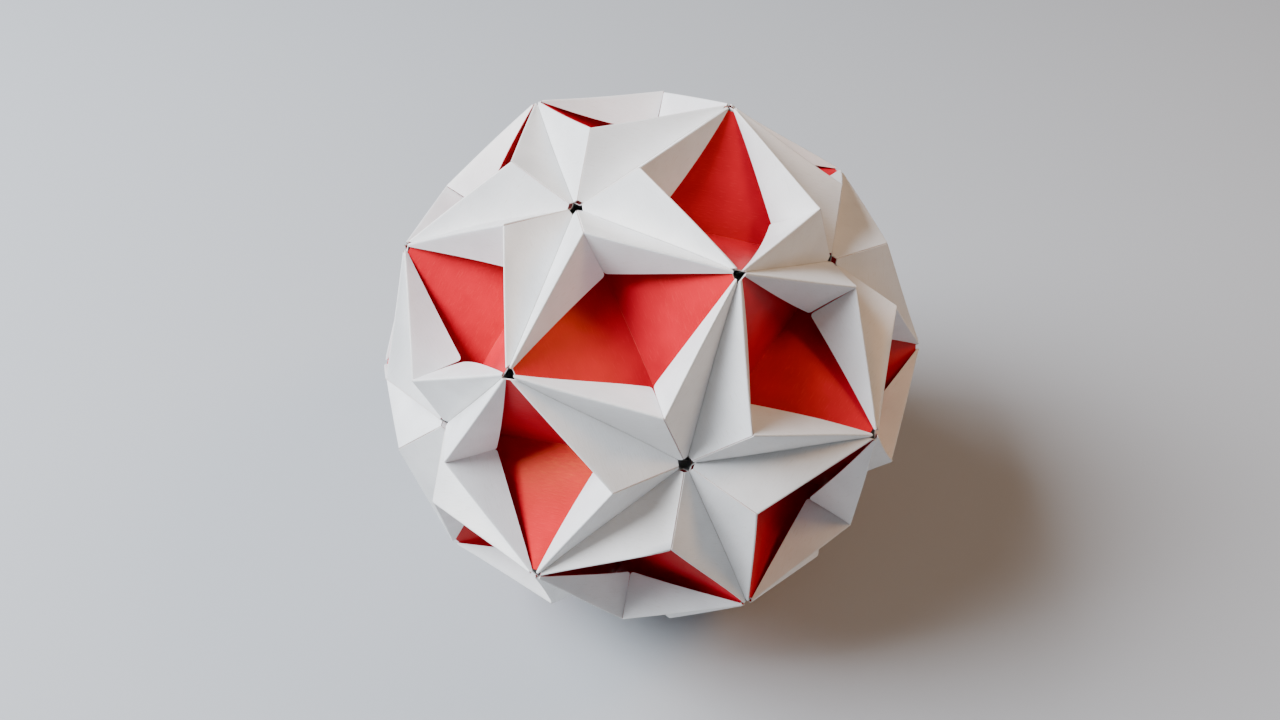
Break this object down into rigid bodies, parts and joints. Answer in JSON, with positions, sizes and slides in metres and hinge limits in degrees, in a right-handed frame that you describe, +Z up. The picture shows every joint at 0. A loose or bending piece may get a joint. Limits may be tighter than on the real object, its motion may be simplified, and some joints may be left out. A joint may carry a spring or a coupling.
{
  "type": "kusudama paper ball",
  "caption": "Modular origami ball of folded two-colour cards: white flaps stand up around red rhombic pits, with small dark holes at the points.",
  "frame": {"origin": "centre of the bounding box at its lowest level: on the surface the ball stands on, straight under its centre", "axes": "+Z up, with the ball standing on one short tip and the two peaks beside it; -Y is the side seen from the front and +X is to its right"},
  "size_m": [0.1646, 0.1578, 0.1563],
  "materials": {
    "card": "satin coated card, white outside and red on the inner face"
  },
  "bodies": {
    "root": {"unit_01": "card", "unit_02": "card", "unit_03": "card", "unit_04": "card", "unit_05": "card", "unit_06": "card", "unit_07": "card", "unit_08": "card", "unit_09": "card", "unit_10": "card", "unit_11": "card", "unit_12": "card", "unit_13": "card", "unit_14": "card", "unit_15": "card", "unit_16": "card", "unit_17": "card", "unit_18": "card", "unit_19": "card", "unit_20": "card", "unit_21": "card", "unit_22": "card", "unit_23": "card", "unit_24": "card", "unit_25": "card", "unit_26": "card", "unit_27": "card", "unit_28": "card", "unit_29": "card", "unit_30": "card"}
  },
  "joints": []
}
